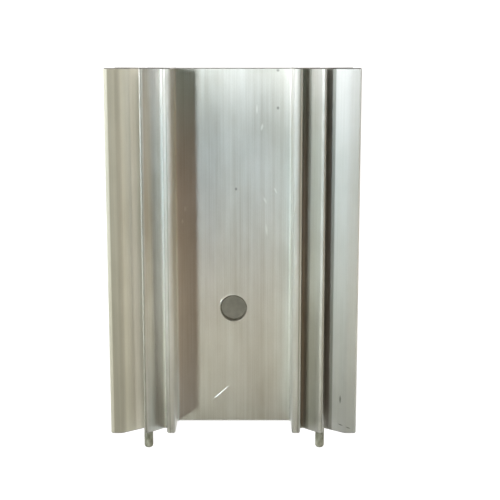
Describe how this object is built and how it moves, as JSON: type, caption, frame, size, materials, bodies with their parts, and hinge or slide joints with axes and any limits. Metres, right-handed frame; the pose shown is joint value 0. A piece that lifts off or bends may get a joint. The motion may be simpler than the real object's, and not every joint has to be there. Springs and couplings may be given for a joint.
{
  "type": "extruded heat sink",
  "caption": "Board-mount heat sink cut from an aluminium extrusion, with a flat device channel, splayed and curved side fins, a screw hole and solder pins.",
  "frame": {"origin": "centre of the outline in X and Y, on the plane of the back fin tips that the part lies on", "axes": "+X across the profile, +Y along the extrusion towards its plain end with the solder pins at -Y, +Z out of the device channel"},
  "size_m": [0.0348, 0.0558, 0.0127],
  "materials": {
    "mill_aluminium": "plain mill finish with die lines along the extrusion",
    "tinned_pin": "dull tin plating"
  },
  "bodies": {
    "root": {"extrusion": "mill_aluminium", "solder_pin_left": "tinned_pin", "solder_pin_right": "tinned_pin"}
  },
  "joints": []
}
